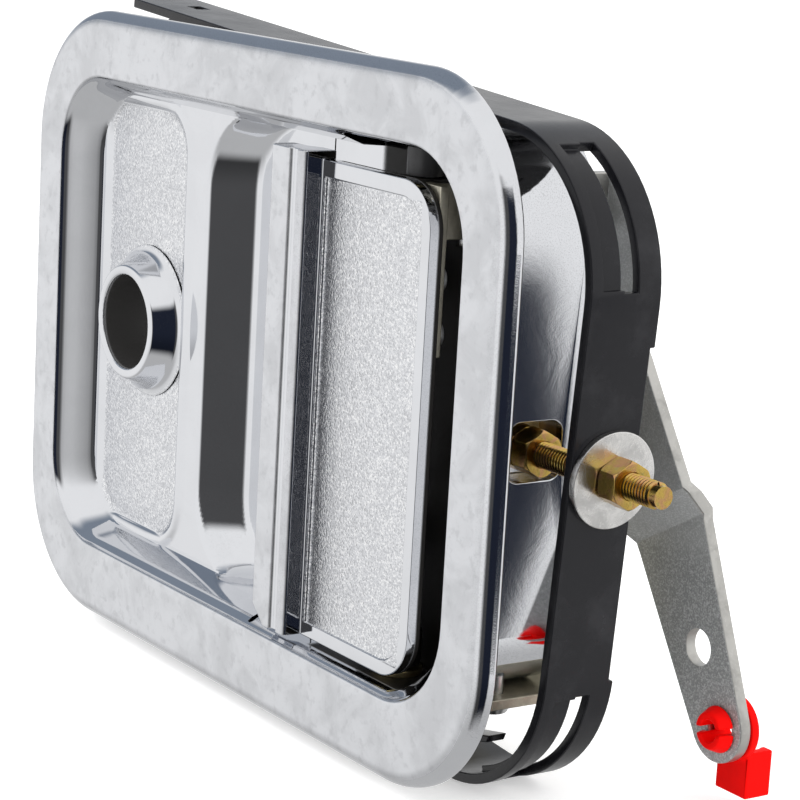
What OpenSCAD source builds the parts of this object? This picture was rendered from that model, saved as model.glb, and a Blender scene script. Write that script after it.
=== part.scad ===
// Recessed paddle handle for a vehicle door, with its rear clamp ring and release lever.
// Millimetres. +X is to the right seen from outside the door, +Y goes into the door, +Z is up.
// The origin is the middle of the door cut-out, on the outer face of the door skin.
// Inside the modules, depth is counted in +Y from the front face of the bezel.

/* [Bezel] */
// Width of the opening in the bezel
opening_w = 152; // [144:1:160]
// Height of the opening in the bezel
opening_h = 101.6; // [96:0.2:108]
// Corner radius of the opening
opening_r = 18; // [16:0.5:20]
// Width of the flange beside the opening
rim_side = 12; // [11:0.5:13.5]
// Width of the flange above and below the opening
rim_end = 14.7; // [13.5:0.1:16]
// Corner radius of the flange
flange_r = 29; // [26:1:31]
// Thickness of the flange
flange_t = 4; // [3.6:0.1:4.4]
// Radius of the flange's rounded outer edge
edge_r = 3.4; // [2.6:0.1:3.4]
// How far the middle of the flange lies below the middle of the opening
flange_drop = 1.1; // [0:0.1:1.4]
// Thickness of the sealing gasket behind the flange
gasket_t = 2; // [1.6:0.1:2.4]

/* [Housing] */
// Depth of the textured floor that carries the lock boss
shallow_y = 8; // [7.2:0.1:8.8]
// Depth of the finger pocket and of the floor behind the paddle
deep_y = 16.5; // [15.5:0.1:18]
// Thickness of the housing walls
wall = 2.5; // [2.2:0.1:2.8]
// How far the housing reaches behind the floor of the finger pocket
tub_back = 20.5; // [19:0.5:22]

/* [Lock] */
// Distance from the opening's left edge to the lock's axis
lock_in = 27.5; // [26:0.1:29]
// Bore for the lock cylinder
lock_d = 20; // [18:0.5:21]
// Width of the flat ring round the bore
lock_ring = 2; // [1.5:0.1:2.5]
// Depth of the lock boss's face
lock_face_y = 2.4; // [1.8:0.1:3]

/* [Paddle] */
// Width of the paddle with its pull rib
paddle_w = 48.8; // [46:0.2:52]
// Free height above the paddle panel in its bay
paddle_gap_top = 6.6; // [6:0.1:7.2]
// Free height below the paddle in its bay
paddle_gap_low = 1.6; // [1.4:0.1:1.8]
// Width of the pull rib
rib_w = 12.6; // [11.6:0.2:13.6]
// Depth of the paddle panel's front face
panel_y = 4; // [3.6:0.1:4.3]
// Distance from the paddle's free edge to the pivot pin
pin_in = 13.2; // [12.6:0.1:13.8]
// Width of the pivot pin
pin_d = 4; // [3.6:0.1:4.4]

/* [Clamp ring] */
// Free width beside the bezel's opening inside the ring
ring_side = 8; // [7:0.5:9]
// Free height between the housing and the ring
ring_gap = 8; // [7.4:0.1:9]
// Corner radius of the clamp ring
ring_r = 28; // [26:1:30]
// Width of the ring's band
ring_band = 15.5; // [15:0.1:16.5]
// Thickness of the ring's band
ring_t = 2; // [1.8:0.1:2.2]
// Lean of the loosely hung ring, right side down
ring_tilt = 4.3; // [0:0.1:4.7]
// How far the ring hangs below the middle of the housing
ring_drop = 2.9; // [2.4:0.1:3.2]
// Height of the side studs
stud_z = -5.5; // [-6.5:0.1:-4.5]
// Thread width of the side studs
stud_d = 5; // [4.6:0.1:5.4]
// Thread left free beyond the ring
stud_out = 15; // [13:0.5:17]

/* [Release lever] */
// Distance from the housing's right wall to the lever's pivot
lever_in = 7; // [6.6:0.1:7.4]
// Height of the lever's pivot
lever_z = 4; // [3.6:0.1:4.4]
// Thickness of the lever plate
lever_t = 2.5; // [2.3:0.1:2.7]
// How far the lower arm is set back from the pivot plane
jog = 4.5; // [4:0.1:5]
// Lean of the lower arm from the vertical
arm_lean = 29; // [28:0.5:30]
// Distance from the lever's pivot to the rod clip, along the arm
clip_s = 67.2; // [65:0.1:69]
// Distance from the lever's pivot to the spare rod hole, along the arm
hole_s = 51.7; // [50:0.1:53]
// Width of the spare rod hole
rod_hole_d = 7; // [6.4:0.1:7.6]
// Width of the rod that the clip takes
rod_d = 4; // [3.6:0.1:4.2]

/* [Hidden] */
$fn = 64;
eps = 0.01;
run_gap = 0.05;          // radial clearance of a shaft that turns in a hole
fit_gap = 0.02;          // radial clearance of a piece that sits in a hole
front_y = -(flange_t + gasket_t);
chrome = [0.78, 0.79, 0.81];
zinc = [0.72, 0.71, 0.66];
yellow_zinc = [0.80, 0.66, 0.30];
black_steel = [0.10, 0.10, 0.11];
rubber_black = [0.05, 0.05, 0.05];
clip_red = [0.86, 0.07, 0.06];
brass_tone = [0.75, 0.62, 0.32];

flange_w = opening_w + 2 * rim_side;
flange_h = opening_h + 2 * rim_end;
lip_y = 3;               // depth at which the steep lip turns into the sloped wall
lip_in = 1.5;            // how far the lip leans in
slope_in = 7;            // how far the side walls have come in at the textured floor
slope_end_in = 3.8;      // how far the upper and lower walls have come in there
panel_cut = 0.5;         // depth of the textured areas below their smooth frames
collar_out = 3;          // wall round the opening where the housing leaves the flange
collar_w = opening_w + 2 * collar_out;
collar_h = opening_h + 2 * collar_out - 1;
collar_r = opening_r + 2;
bay_in = 0.6;            // step from the opening to the straight bay that the paddle swings in
bay_h = opening_h - 2 * bay_in;
tub_h = opening_h + 3.4;
tub_right = opening_w / 2 - 12;
tub_left = opening_w / 2 - 2;
tub_r = 12;
tub_front = deep_y + wall;
tub_y = deep_y + tub_back;

lock_x = lock_in - opening_w / 2;
lock_face_d = lock_d + 2 * lock_ring;
lock_base_d = lock_face_d + 5;
lock_tube_d = lock_d + 6;
lock_end = deep_y + 7.5; // depth of the lock tube's rear end
slope_x0 = lock_x + 22.5;   // where the floor starts to fall into the finger pocket
slope_x1 = slope_x0 + 7;    // where the fall ends
deep_x1 = tub_right - wall - 0.5;

paddle_x = tub_right - 3.8;
paddle_z0 = -bay_h / 2 + paddle_gap_low;
paddle_z1 = bay_h / 2 - paddle_gap_top;
pin_x = paddle_x - pin_in;
pin_y = deep_y - 5;
rib_x = paddle_x - paddle_w;
rib_x1 = rib_x + rib_w;
rib_z1 = paddle_z1 + 1.6;
bay_x0 = rib_x - 2.4;
bay_x1 = paddle_x + 3.3;
panel_t = 3;
panel_back = panel_y + panel_t;
corner_r = 9;
knuckle_r = 4.2;
knuckle_h = 6.8;
bush_d = 7;
bush_flange_d = 9.4;
bush_flange_t = 1.2;
spring_wire = 1.2;
bumper_x = rib_x1 + 6;
bumper_z = [paddle_z1 - 21.6, paddle_z0 + 21.6];
bumper_d = 8;

foot_t = 2;
foot_w = 6.3;
foot_len = 21;
foot_x0 = pin_x + 5.2;
foot_x1 = foot_x0 + foot_w;
drive_h = 10;
drive_z1 = paddle_z1 - 0.6;
drive_z0 = drive_z1 - drive_h;
rivet_z = [drive_z0 - 17, drive_z0 - 7];
nose_x = pin_x + 9.5;
nose_y = pin_y + 17;
nose_r = 3;

ring_w = opening_w + 2 * (ring_side + ring_t);
ring_h = tub_h + 2 * (ring_gap + ring_t);
ring_x = ring_w / 2;
stud_y = tub_y - 9.5;
ring_y = stud_y - 8.8;
nut_w = 8;
nut_h = 4.7;
washer_d = 18;
washer_t = 1.4;
recess_d = 7;            // depth of the side recess round a stud, and length of thread in its boss
stud_x1 = ring_x + stud_out;
strip_y = 2.4;           // front edge of the pressed-in corner strips, from the ring's front edge
strip_w = 5.2;
strip_in = 1.2;          // how far the strips are pressed in
slot_w = 2.8;            // opening behind each strip

plate_t = 2;
lever_x = tub_right - lever_in;
lever_y = tub_y + 12;
web_y = lever_y - 5;
bracket_y0 = tub_front + 1;
bracket_x0 = tub_right - 42;
bracket_x1 = tub_right;
web_z1 = lever_z + 16;
post_d = 9;
post_at = [bracket_x0 + 7, tub_h / 2 - 12];
strip_x1 = bracket_x0 + 14;
screw_d = 4;
screw_y = bracket_y0 + 5;
screw_x = [bracket_x0 + 8, bracket_x1 - 5];
shoulder_d = 8;
neck_d = 6;
disc_d = 15;
lever_hub_r = 12;
arm_y = lever_y + jog;
tab_gap = 0.4;
tab_x1 = nose_x - nose_r - tab_gap;
tab_y0 = nose_y - 1.5;
clip_side = 1.8;         // how far the clip lies beside the arm's middle line
clip_at = arm_point(clip_s, clip_side);
hole_at = arm_point(hole_s, 1.5);
stem_r = 3.2;

// Place on the lever's arm, from a distance along it and one across it
function arm_point(s, across) = [lever_x + s * sin(arm_lean) + across * cos(arm_lean),
                                 lever_z - s * cos(arm_lean) + across * sin(arm_lean)];

// Moves depths counted from the bezel's face to the shared frame
module placed() {
    translate([0, front_y, 0]) children();
}

// Rounded rectangle about the middle
module rrect(w, h, r) {
    square([w - 2 * r, h], center = true);
    square([w, h - 2 * r], center = true);
    for (sx = [-1, 1], sy = [-1, 1])
        translate([sx * (w / 2 - r), sy * (h / 2 - r)]) circle(r);
}

// Rounded rectangle between two corners
module rrect_at(x0, x1, z0, z1, r) {
    translate([(x0 + x1) / 2, (z0 + z1) / 2]) rrect(x1 - x0, z1 - z0, r);
}

// Extrudes an outline drawn in the door's plane from depth y0 to depth y1
module slab(y0, y1) {
    translate([0, y1, 0]) rotate([90, 0, 0]) linear_extrude(y1 - y0) children();
}

// Box between two corners
module box(x, y, z) {
    translate([x[0], y[0], z[0]]) cube([x[1] - x[0], y[1] - y[0], z[1] - z[0]]);
}

// Round bar along +Y between two depths
module bar_y(x, z, y0, y1, d) {
    translate([x, y1, z]) rotate([90, 0, 0]) cylinder(h = y1 - y0, d = d);
}

// Round bar along +X between two places
module bar_x(y, z, x0, x1, d) {
    translate([x0, y, z]) rotate([0, 90, 0]) cylinder(h = x1 - x0, d = d);
}

// Solid with sloped sides through rounded rectangles [depth, x0, x1, half height, radius]
module tapered(sections) {
    hull() for (s = sections)
        slab(s[0] - 0.2, s[0]) rrect_at(s[1], s[2], -s[3], s[3], s[4]);
}

// Turns a right-hand piece into the left-hand one where s is negative
module side(s) {
    if (s < 0) mirror([1, 0, 0]) children();
    else children();
}

// Distance from the middle to the bottom of the stud recess on side s
function recess_x(s) = (s < 0 ? tub_left : tub_right) - recess_d;

// Shape moved to the hung place of the ring
module hung() {
    translate([0, 0, -ring_drop]) rotate([0, ring_tilt, 0]) children();
}

// Section of the flange from the middle of a corner outwards, its front edge a quarter round
module flange_section() {
    flat = flange_r - edge_r;
    square([flat, flange_t]);
    translate([0, edge_r]) square([flange_r, flange_t - edge_r]);
    translate([flat, edge_r]) intersection() {
        circle(edge_r);
        translate([0, -edge_r]) square(edge_r);
    }
}

module flange_plate() {
    half_w = flange_w / 2 - flange_r;
    half_h = flange_h / 2 - flange_r;
    translate([0, 0, -flange_drop]) {
        box([-half_w, half_w], [0, flange_t], [-half_h, half_h]);
        for (t = [0:3]) rotate([0, 90 * t, 0]) {
            w = t % 2 == 0 ? half_w : half_h;
            h = t % 2 == 0 ? half_h : half_w;
            translate([w, 0, -h]) linear_extrude(2 * h) flange_section();
            translate([w, 0, h]) rotate([-90, 0, 0]) rotate(-90) rotate_extrude(angle = 90) flange_section();
        }
    }
}

module housing_shell() {
    flange_plate();
    tapered([[flange_t - 0.5, -collar_w / 2, collar_w / 2, collar_h / 2, collar_r],
             [tub_front, -tub_left, tub_right, tub_h / 2, tub_r]]);
    slab(tub_front - 2, tub_y) rrect_at(-tub_left, tub_right, -tub_h / 2, tub_h / 2, tub_r);
}

module front_pockets() {
    half_w = opening_w / 2;
    half_h = opening_h / 2;
    floor_w = half_w - slope_in;
    tapered([[-0.8, -half_w - 0.5, half_w + 0.5, half_h + 0.5, opening_r + 0.5],
             [lip_y, -half_w + lip_in, half_w - lip_in, half_h - lip_in, opening_r - lip_in],
             [shallow_y, -floor_w, floor_w, half_h - slope_end_in, opening_r - slope_end_in]]);
    tapered([[shallow_y - 1, slope_x0 - 0.8, floor_w + 0.8, bay_h / 2 - 2.2, 17],
             [deep_y, slope_x1, deep_x1, bay_h / 2 - 3.5, 15]]);
    slab(lip_y - 0.8, deep_y - 2) rrect_at(bay_x0, bay_x1, -bay_h / 2, bay_h / 2, 8);
    slab(deep_y - 2.3, deep_y) rrect_at(bay_x0 + 2, deep_x1 - 0.5, -bay_h / 2, bay_h / 2, 6);
    slab(shallow_y - 0.5, shallow_y + panel_cut)
        rrect_at(-floor_w + 1.6, slope_x0 - 8, -half_h + 5.4, half_h - 5.4, 9);
}

module rear_hollows() {
    half_h = tub_h / 2 - wall;
    slab(deep_y + wall, tub_y + 1)
        rrect_at(slope_x0 - 6, tub_right - wall, -half_h, half_h, tub_r - wall);
    slab(shallow_y + panel_cut + wall, tub_y + 1)
        rrect_at(wall - tub_left + 1.5, slope_x0 - 3, -half_h + 2, half_h - 2, tub_r - wall);
}

module lock_boss() {
    translate([lock_x, lock_face_y, 0]) rotate([-90, 0, 0])
        cylinder(h = shallow_y + 1 - lock_face_y, d1 = lock_face_d, d2 = lock_base_d);
    bar_y(lock_x, 0, shallow_y, lock_end, lock_tube_d);
}

module stud_boss(s) {
    x = recess_x(s);
    box([x - recess_d, x + recess_d - 1], [20, tub_y], [stud_z - 8, stud_z + 8]);
}

module stud_recess(s) {
    x = recess_x(s);
    translate([x, 0, stud_z]) rotate([0, 90, 0]) linear_extrude(20)
        rrect_at(-5.6, 5.6, stud_y - 6, stud_y + 6, 2.5);
    bar_x(stud_y, stud_z, x - recess_d + 0.3, x + 1, stud_d + 2 * fit_gap);
}

module bezel_housing() {
    placed() color(chrome) difference() {
        union() {
            difference() {
                housing_shell();
                front_pockets();
                rear_hollows();
            }
            lock_boss();
            bar_y(post_at[0], post_at[1], deep_y + wall / 2, web_y, post_d);
            for (s = [-1, 1]) side(s) stud_boss(s);
        }
        bar_y(lock_x, 0, -1, lock_end + 1, lock_d);
        for (s = [-1, 1]) side(s) stud_recess(s);
        translate([pin_x, pin_y, -tub_h]) cylinder(h = 2 * tub_h, d = bush_d + 2 * fit_gap);
        box([pin_x + 4, pin_x + 11.2], [deep_y - 1, deep_y + wall + 1], [drive_z0 - 2, drive_z1 + 2]);
        for (z = bumper_z) bar_y(bumper_x, z, deep_y - 1, deep_y + wall + 1, bumper_d / 2 + 2 * fit_gap);
        for (x = screw_x) translate([x, screw_y, -tub_h / 2])
            cylinder(h = 4 * wall, d = screw_d + 2 * fit_gap, center = true);
        bar_y(post_at[0], post_at[1], web_y - 9, web_y + 1, screw_d + 2 * fit_gap);
    }
}

module flange_gasket() {
    placed() color(rubber_black) slab(flange_t, flange_t + gasket_t) difference() {
        translate([0, -flange_drop]) rrect(flange_w - 4.6, flange_h - 4.6, flange_r - 2.3);
        rrect(collar_w + 3, collar_h + 3, collar_r + 1.5);
    }
}

// Part of a rounded corner of the ring between two radii and two angles counted from the sideways direction
module corner_piece(sx, sz, r0, r1, a0, a1) {
    translate([sx * (ring_x - ring_r), sz * (ring_h / 2 - ring_r)]) intersection() {
        difference() {
            circle(r1);
            circle(r0);
        }
        polygon([[0, 0], for (i = [0:6]) let (t = a0 + (a1 - a0) * i / 6) 1.2 * r1 * [sx * cos(t), sz * sin(t)]]);
    }
}

// Band with an ear on its top wall, pressed-in strips at the corners, an inner tongue and a relieved rear edge
module ring_band_solid() {
    rear = ring_y + ring_band;
    y0 = ring_y + strip_y;
    y1 = y0 + strip_w;
    inner_r = ring_r - ring_t;
    bottom = -ring_h / 2;
    difference() {
        union() {
            slab(ring_y, rear) difference() {
                rrect(ring_w, ring_h, ring_r);
                rrect(ring_w - 2 * ring_t, ring_h - 2 * ring_t, inner_r);
            }
            box([1.5 - ring_x, ring_r + 2 - ring_x], [ring_y, rear], [-bottom - ring_t, -bottom]);
            box([-6, 14], [rear - ring_t, rear + 2.2], [bottom, bottom + ring_t]);
            for (sx = [-1, 1], sz = [-1, 1])
                slab(y0, y1) corner_piece(sx, sz, inner_r - strip_in, inner_r + strip_in / 2, 5, 69);
            slab(y0 + 0.4, y1 - 0.6) polygon([[ring_x - 46, bottom + ring_t / 2], [ring_x - 19, bottom + ring_t + 7.4],
                                  [ring_x - 18.4, bottom + ring_t + 9], [ring_x - 46, bottom + ring_t + 1]]);
        }
        for (sx = [-1, 1], sz = [-1, 1]) {
            slab(y0 + 0.3, y1 + 0.5) corner_piece(sx, sz, ring_r - strip_in, ring_r + 2, 7, 67);
            slab(y1 - 0.2, y1 + slot_w) corner_piece(sx, sz, inner_r - 4, ring_r + 4, 6, 68);
        }
        for (sx = [-1, 1])
            slab(rear - 1, rear + 1) translate([sx * ring_x, -4]) square([8, ring_h / 2], center = true);
    }
}

module retainer_ring() {
    placed() color(black_steel) difference() {
        hung() ring_band_solid();
        bar_x(stud_y, stud_z, -stud_x1, stud_x1, stud_d + 3);
    }
}

module stud(s) {
    bar_x(stud_y, stud_z, recess_x(s) - recess_d + 0.5, stud_x1 - 0.8, stud_d);
    translate([stud_x1 - 0.8, stud_y, stud_z]) rotate([0, 90, 0])
        cylinder(h = 0.8, d1 = stud_d, d2 = stud_d - 1.6);
}

module ring_studs() {
    placed() color(yellow_zinc) for (s = [-1, 1]) side(s) stud(s);
}

// Hexagon nut with chamfered corners, from x0 outwards
module hex_nut(x0) {
    across = nut_w / cos(30);
    translate([x0, stud_y, stud_z]) rotate([0, 90, 0]) difference() {
        intersection() {
            cylinder(h = nut_h, d = across, $fn = 6);
            translate([0, 0, -4]) cylinder(h = nut_h + 4, d1 = across + 13, d2 = nut_w + 0.3);
            cylinder(h = nut_h + 4, d1 = nut_w + 0.3, d2 = across + 13);
        }
        translate([0, 0, -1]) cylinder(h = nut_h + 2, d = stud_d + 2 * fit_gap);
    }
}

module stud_jam_nuts() {
    placed() color(yellow_zinc) for (s = [-1, 1], k = [0, 1])
        side(s) hex_nut(recess_x(s) + k * (nut_h + 0.4));
}

// Where the ring's outer face crosses the stud's axis, on one side
function ring_face(s) =
    (ring_x + s * (stud_z + ring_drop) * sin(ring_tilt)) / cos(ring_tilt);

module ring_washers() {
    placed() color([0.80, 0.80, 0.79]) for (s = [-1, 1])
        translate([s * ring_face(s), stud_y, stud_z]) rotate([0, ring_tilt, 0]) rotate([0, s * 90, 0])
            difference() {
                cylinder(h = washer_t, d = washer_d);
                translate([0, 0, -1]) cylinder(h = washer_t + 2, d = stud_d + 0.6);
            }
}

module ring_nuts() {
    seat = washer_t + nut_w / 2 * sin(ring_tilt);
    placed() color(yellow_zinc) {
        for (s = [-1, 1]) side(s) hex_nut(ring_face(s) + seat);
    }
}

module rear_bracket() {
    z0 = -tub_h / 2;
    rear = web_y + plate_t;
    placed() color(zinc) difference() {
        union() {
            box([bracket_x0, bracket_x1], [bracket_y0, rear], [z0 - plate_t, z0]);
            box([bracket_x0, bracket_x1], [web_y, rear], [z0 - plate_t, web_z1]);
            box([bracket_x0, strip_x1], [web_y, rear], [web_z1 - plate_t, post_at[1] + post_d / 2 + 1]);
        }
        bar_y(lever_x, lever_z, web_y - 1, rear + 1, neck_d + 2 * fit_gap);
        for (x = screw_x) translate([x, screw_y, z0])
            cylinder(h = 4 * plate_t, d = screw_d + 2 * fit_gap, center = true);
        bar_y(post_at[0], post_at[1], web_y - 1, rear + 1, screw_d + 2 * fit_gap);
    }
}

// Pan-head screw along +Z, its head on top and its seat at the origin
module pan_screw(length) {
    head_h = 0.4 * screw_d;
    translate([0, 0, -length]) cylinder(h = length, d = screw_d);
    difference() {
        cylinder(h = head_h, d1 = 1.85 * screw_d, d2 = 1.5 * screw_d);
        for (t = [0, 90]) translate([0, 0, head_h]) rotate(t)
            cube([1.2 * screw_d, screw_d / 4, head_h], center = true);
    }
}

module bracket_screws() {
    placed() color([0.75, 0.75, 0.74]) {
        for (x = screw_x) translate([x, screw_y, -tub_h / 2 - plate_t]) rotate([180, 0, 0])
            pan_screw(plate_t + wall + 1);
        translate([post_at[0], web_y + plate_t, post_at[1]]) rotate([-90, 0, 0]) pan_screw(plate_t + 8);
    }
}

// Height of the housing's outer face where the pin passes
function pin_wall_z() =
    collar_h / 2 + (tub_h - collar_h) / 2 * (pin_y - flange_t) / (tub_front - flange_t);

module pivot_pin() {
    end = pin_wall_z() + 1.6;
    placed() color([0.55, 0.55, 0.56]) translate([pin_x, pin_y, 0]) difference() {
        union() {
            translate([0, 0, -end]) cylinder(h = 2 * end, d = pin_d);
            translate([0, 0, -end]) cylinder(h = 1, d = pin_d + 3);
        }
        translate([0, 0, end - 1.3]) difference() {
            cylinder(h = 0.7, d = pin_d + 2);
            translate([0, 0, -1]) cylinder(h = 3, d = pin_d - 0.8);
        }
    }
}

module pin_bush() {
    inner = bay_h / 2;
    difference() {
        union() {
            translate([0, 0, inner - bush_flange_t]) cylinder(h = bush_flange_t, d = bush_flange_d);
            translate([0, 0, inner - eps]) cylinder(h = pin_wall_z() + 0.3 - inner, d = bush_d);
        }
        cylinder(h = tub_h, d = pin_d + 2 * run_gap);
    }
}

module pin_bushes() {
    placed() color(brass_tone) translate([pin_x, pin_y, 0]) {
        pin_bush();
        mirror([0, 0, 1]) pin_bush();
    }
}

module pin_spacer() {
    z0 = paddle_z1 - 0.2;
    placed() color([0.2, 0.2, 0.21]) translate([pin_x, pin_y, z0]) difference() {
        cylinder(h = bay_h / 2 - bush_flange_t - z0 - 0.1, d = 7);
        translate([0, 0, -1]) cylinder(h = 20, d = pin_d + 2 * run_gap);
    }
}

// Open retaining ring of thickness t round a groove of width d
module open_clip(d, t) {
    linear_extrude(t) difference() {
        circle(d / 2 + 2);
        circle(d / 2);
        translate([0, -d]) square([d * 0.8, 2 * d], center = true);
    }
}

module pin_clip() {
    placed() color([0.25, 0.25, 0.26])
        translate([pin_x, pin_y, pin_wall_z() + 0.35]) open_clip(pin_d - 0.7, 0.6);
}

// Ring of points round a wire of radius w, at angle a and height z on radius r
function wire_ring(r, w, a, z, n) =
    [for (i = [0:n - 1]) let (q = r + w * cos(360 * i / n)) [q * cos(a), q * sin(a), z + w * sin(360 * i / n)]];

// How much the winding widens into a leg, k steps from an end
function leg(k, steps, reach) = k < steps ? reach * pow((steps - k) / steps, 2) : 0;

// Torsion spring round +Z that starts and ends in a leg
module torsion_coil(r, w, turns, pitch, a0, a1, reach) {
    n = 8;
    step = 18;
    leg_steps = 5;
    m = turns * 360 / step + (a1 - a0) / step;
    rings = [for (k = [0:m])
        wire_ring(r + leg(k, leg_steps, reach) + leg(m - k, leg_steps, reach), w, a0 + step * k,
                  pitch * step * k / 360, n)];
    points = [for (k = [0:m], i = [0:n - 1]) rings[k][i]];
    sides = [for (k = [0:m - 1], i = [0:n - 1])
        [k * n + i, k * n + (i + 1) % n, (k + 1) * n + (i + 1) % n, (k + 1) * n + i]];
    ends = [[for (i = [n - 1:-1:0]) i], [for (i = [0:n - 1]) m * n + i]];
    polyhedron(points, concat(sides, ends), convexity = 10);
}

module paddle_spring() {
    placed() color([0.6, 0.6, 0.6]) translate([pin_x, pin_y, (paddle_z0 + paddle_z1) / 2 - 11.5])
        torsion_coil(pin_d / 2 + spring_wire, spring_wire / 2, 7, 1.25 * spring_wire, 153, 207, knuckle_r + 0.6);
}

module paddle_bumpers() {
    placed() color(rubber_black) for (z = bumper_z) {
        bar_y(bumper_x, z, panel_back + 0.1, deep_y, bumper_d);
        bar_y(bumper_x, z, deep_y - eps, deep_y + wall + 0.5, bumper_d / 2);
        bar_y(bumper_x, z, deep_y + wall, deep_y + wall + 1.2, 0.65 * bumper_d);
    }
}

module lever_pivot() {
    end = lever_y + lever_t + 3.2;
    placed() color(zinc) difference() {
        union() {
            bar_y(lever_x, lever_z, web_y - 1.6, web_y, neck_d + 4);
            bar_y(lever_x, lever_z, web_y - eps, web_y + plate_t, neck_d);
            bar_y(lever_x, lever_z, web_y + plate_t, end, shoulder_d);
        }
        difference() {
            bar_y(lever_x, lever_z, end - 1.6, end - 0.8, shoulder_d + 2);
            bar_y(lever_x, lever_z, end - 2, end, shoulder_d - 1.4);
        }
    }
}

// Flat round disc on the lever's pivot between two depths
module pivot_disc(y0, y1, d) {
    difference() {
        bar_y(lever_x, lever_z, y0, y1, d);
        bar_y(lever_x, lever_z, y0 - 1, y1 + 1, shoulder_d + 2 * run_gap);
    }
}

module lever_spacer() {
    placed() color(brass_tone) pivot_disc(web_y + plate_t, lever_y - 0.15, disc_d);
}

module lever_washer() {
    placed() color(zinc) pivot_disc(lever_y + lever_t + 0.15, lever_y + lever_t + 1.55, disc_d + 1);
}

module lever_clip() {
    end = lever_y + lever_t + 3.2;
    placed() color([0.25, 0.25, 0.26])
        translate([lever_x, end - 0.85, lever_z]) rotate([90, 0, 0]) open_clip(shoulder_d - 1.3, 0.7);
}

// Paddle panel outline: square at the rib, rounded at the free edge
module panel_outline(x0, x1, z0, z1, r) {
    rrect_at(x0, x1, z0, z1, r);
    translate([x0, z0]) square([x1 - x0 - r, z1 - z0]);
}

// Cross-section of the pull rib, seen from above: a groove along its face and a finger hold behind it
module rib_section() {
    x0 = rib_x;
    x1 = rib_x1;
    g0 = x0 + 0.54 * rib_w;
    g1 = x0 + 0.79 * rib_w;
    polygon([[x0, 1], [x0 + 1, 0], [g0, 0], [g0 + 0.7, 0.8], [g1 - 0.7, 0.8], [g1, 0], [x1 - 0.6, 0],
             [x1, 0.6], [x1, panel_back], [x0 + 8, panel_back], [x0 + 5, panel_y + 1.5], [x0, panel_y + 1.5]]);
}

module paddle() {
    knuckles = [[paddle_z0 + 0.2, 1], [paddle_z1 - 0.4 - knuckle_h, 1]];
    placed() color(chrome) difference() {
        union() {
            slab(panel_y, panel_back) panel_outline(rib_x1 - 1, paddle_x, paddle_z0, paddle_z1, corner_r);
            translate([0, 0, paddle_z0]) linear_extrude(rib_z1 - paddle_z0) rib_section();
            for (k = knuckles) {
                translate([pin_x, pin_y, k[0]]) cylinder(h = knuckle_h, r = knuckle_r);
                box([pin_x - knuckle_r, pin_x + knuckle_r], [panel_back - 0.5, pin_y], [k[0], k[0] + knuckle_h]);
            }
        }
        slab(panel_y - 1, panel_y + panel_cut)
            panel_outline(rib_x1 + 1.4, paddle_x - 2.8, paddle_z0 + 2.8, paddle_z1 - 3.2, corner_r - 2.5);
        translate([pin_x, pin_y, -tub_h]) cylinder(h = 2 * tub_h, d = pin_d + 2 * run_gap);
        slab(-1, panel_back + 1)
            polygon([[rib_x - 1, paddle_z0 - 1], [rib_x + 5, paddle_z0 - 1], [rib_x + 5, paddle_z0],
                     [rib_x, paddle_z0 + 4.6], [rib_x - 1, paddle_z0 + 4.6]]);
        for (z = rivet_z) bar_y((foot_x0 + foot_x1) / 2, z, panel_back - 1.6, panel_back + 1, 3 + 2 * fit_gap);
    }
}

module drive_arm() {
    fx = (foot_x0 + foot_x1) / 2;
    placed() color(zinc) difference() {
        union() {
            box([foot_x0, foot_x1], [panel_back, panel_back + foot_t], [drive_z0 - foot_len, drive_z1]);
            translate([0, 0, drive_z0]) linear_extrude(drive_h) {
                polygon([[fx - 1, panel_back + 1], [fx + 1, panel_back + 1],
                         [nose_x + 1, nose_y], [nose_x - 1, nose_y]]);
                translate([nose_x, nose_y]) circle(nose_r);
            }
        }
        for (z = rivet_z) bar_y(fx, z, panel_back - 1, panel_back + foot_t + 1, 3 + 2 * fit_gap);
    }
}

module drive_rivets() {
    fx = (foot_x0 + foot_x1) / 2;
    placed() color([0.7, 0.7, 0.7]) for (z = rivet_z) {
        bar_y(fx, z, panel_back - 1.5, panel_back + foot_t + 0.5, 3);
        bar_y(fx, z, panel_back + foot_t, panel_back + foot_t + 0.9, 5.4);
    }
}

// Outline of hub and lower arm, along the arm from the pivot
module arm_outline() {
    end_r = 7;
    end_s = clip_s - 0.8;
    side = clip_side / 2;
    shoulder = 2 * lever_hub_r;
    circle(lever_hub_r);
    translate([end_s, side]) circle(end_r);
    polygon([[-0.9, lever_hub_r - 0.05], [shoulder + 1, lever_hub_r + 2], [shoulder + 6, lever_hub_r],
             [end_s + 0.6, side + end_r - 0.05], [end_s - 0.4, side - end_r + 0.05],
             [shoulder + 7, 3.5 - lever_hub_r], [1.4, 0.1 - lever_hub_r]]);
}

// Side view of the arm: flat at the pivot, one jog, flat at the rod holes
module arm_side() {
    s1 = 2 * lever_hub_r;
    s2 = s1 + jog + 0.5;
    far = clip_s + 2 * lever_hub_r;
    near = -2 * lever_hub_r;
    m = lever_t * tan(atan2(jog, s2 - s1) / 2);
    polygon([[near, lever_y], [s1, lever_y], [s2, arm_y], [far, arm_y], [far, arm_y + lever_t],
             [s2 - m, arm_y + lever_t], [s1 - m, lever_y + lever_t], [near, lever_y + lever_t]]);
}

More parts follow.
